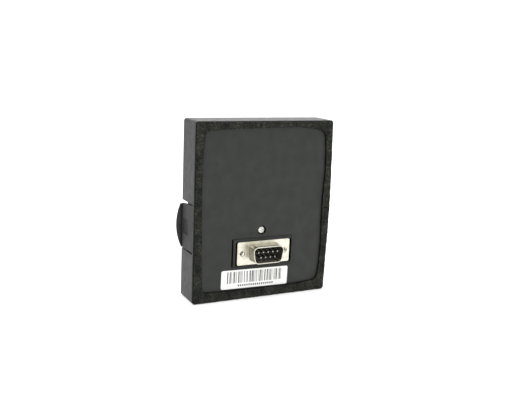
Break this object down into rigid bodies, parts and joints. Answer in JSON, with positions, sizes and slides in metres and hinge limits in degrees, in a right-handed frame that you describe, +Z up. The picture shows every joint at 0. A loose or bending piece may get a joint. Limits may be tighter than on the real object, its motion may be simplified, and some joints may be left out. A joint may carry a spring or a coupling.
{
  "type": "lidar scanner module",
  "caption": "Slim plug-in lidar module: flat case with a serial plug and foam seal at the rear, finger latches at the sides and a rotating mirror behind a curved window.",
  "frame": {"origin": "centre of the outer face of the case's rear plate, behind the foam seal", "axes": "+Y from the rear plate towards the scanning nose, +Z up along the scan axis, +X to the right of someone facing the rear"},
  "size_m": [0.0854, 0.0372, 0.0944],
  "materials": {
    "case_plastic": "fine moulded texture",
    "cover_plastic": "fine moulded texture",
    "window_plastic": "polished, passes infrared",
    "seal_rubber": "matt",
    "foam": "open-cell foam",
    "label_film": "satin white film",
    "screw_steel": "bright zinc",
    "connector_metal": "bright tin plate",
    "connector_plastic": "moulded",
    "contact_metal": "plated",
    "circuit_board": "green solder mask",
    "chip_plastic": "moulded",
    "capacitor_metal": "satin",
    "socket_plastic": "moulded",
    "clear_plastic": "clear moulding",
    "chassis_alloy": "die cast",
    "black_alloy": "black anodised",
    "turned_brass": "turned",
    "bronze": "sintered",
    "core_steel": "stacked laminations",
    "copper": "enamelled wire",
    "ferrite": "sintered",
    "rotor_steel": "drawn steel",
    "optic_glass": "polished",
    "filter_glass": "polished",
    "mirror_coat": "polished",
    "hub_plastic": "moulded",
    "ribbon_film": "polyimide film",
    "latch_plastic": "fine moulded texture",
    "spring_steel": "drawn wire"
  },
  "bodies": {
    "module": {"rear_case": "case_plastic", "front_cover": "cover_plastic", "scan_window": "window_plastic", "window_seal": "seal_rubber", "cover_seal": "seal_rubber", "foam_gasket": "foam", "rear_label": "label_film", "cover_screws": "screw_steel", "case_screw": "screw_steel", "board_screws": "screw_steel", "chassis_screws": "screw_steel", "detector_screws": "screw_steel", "connector_shell": "connector_metal", "connector_insert": "connector_plastic", "connector_pins": "contact_metal", "connector_nuts": "screw_steel", "main_board": "circuit_board", "control_chip": "chip_plastic", "driver_chip": "chip_plastic", "power_inductor": "ferrite", "board_capacitors": "capacitor_metal", "ribbon_sockets": "socket_plastic", "status_led": "clear_plastic", "light_pipe": "clear_plastic", "optical_chassis": "chassis_alloy", "motor_board": "circuit_board", "bearing_tube": "turned_brass", "lower_bushing": "bronze", "upper_bushing": "bronze", "thrust_cap": "turned_brass", "stator_core": "core_steel", "stator_coils": "copper", "encoder_sensor": "chip_plastic", "lens_barrel": "black_alloy", "receiver_lens": "optic_glass", "lens_retainer": "black_alloy", "optical_filter": "filter_glass", "detector_board": "circuit_board", "photodiode": "chip_plastic", "laser_barrel": "turned_brass", "collimator_lens": "optic_glass", "laser_diode": "turned_brass", "fold_prism": "optic_glass", "motor_ribbon": "ribbon_film", "detector_ribbon": "ribbon_film", "laser_ribbon": "ribbon_film", "latch_pin_left": "spring_steel", "latch_pin_right": "spring_steel", "latch_spring_left": "spring_steel", "latch_spring_right": "spring_steel"},
    "rotor": {"motor_shaft": "rotor_steel", "rotor_bell": "rotor_steel", "rotor_magnet": "ferrite", "encoder_disc": "chip_plastic", "mirror_hub": "hub_plastic", "scan_mirror": "mirror_coat"},
    "latch_left": {"latch_lever_left": "latch_plastic"},
    "latch_right": {"latch_lever_right": "latch_plastic"}
  },
  "joints": [
    {"name": "mirror_spin", "type": "hinge", "parent": "module", "child": "rotor", "pos_m": [0, 0.015, 0.022], "axis": [0, 0, 1], "continuous": true},
    {"name": "latch_press_left", "type": "hinge", "parent": "module", "child": "latch_left", "pos_m": [-0.0386, 0.0027, -0.0079], "axis": [0, 0, -1], "range_deg": [0, 5], "stiffness_Nm_per_rad": 0.4, "deforming": ["latch_spring_left"]},
    {"name": "latch_press_right", "type": "hinge", "parent": "module", "child": "latch_right", "pos_m": [0.0386, 0.0027, -0.0079], "axis": [0, 0, 1], "range_deg": [0, 5], "stiffness_Nm_per_rad": 0.4, "deforming": ["latch_spring_right"]}
  ]
}
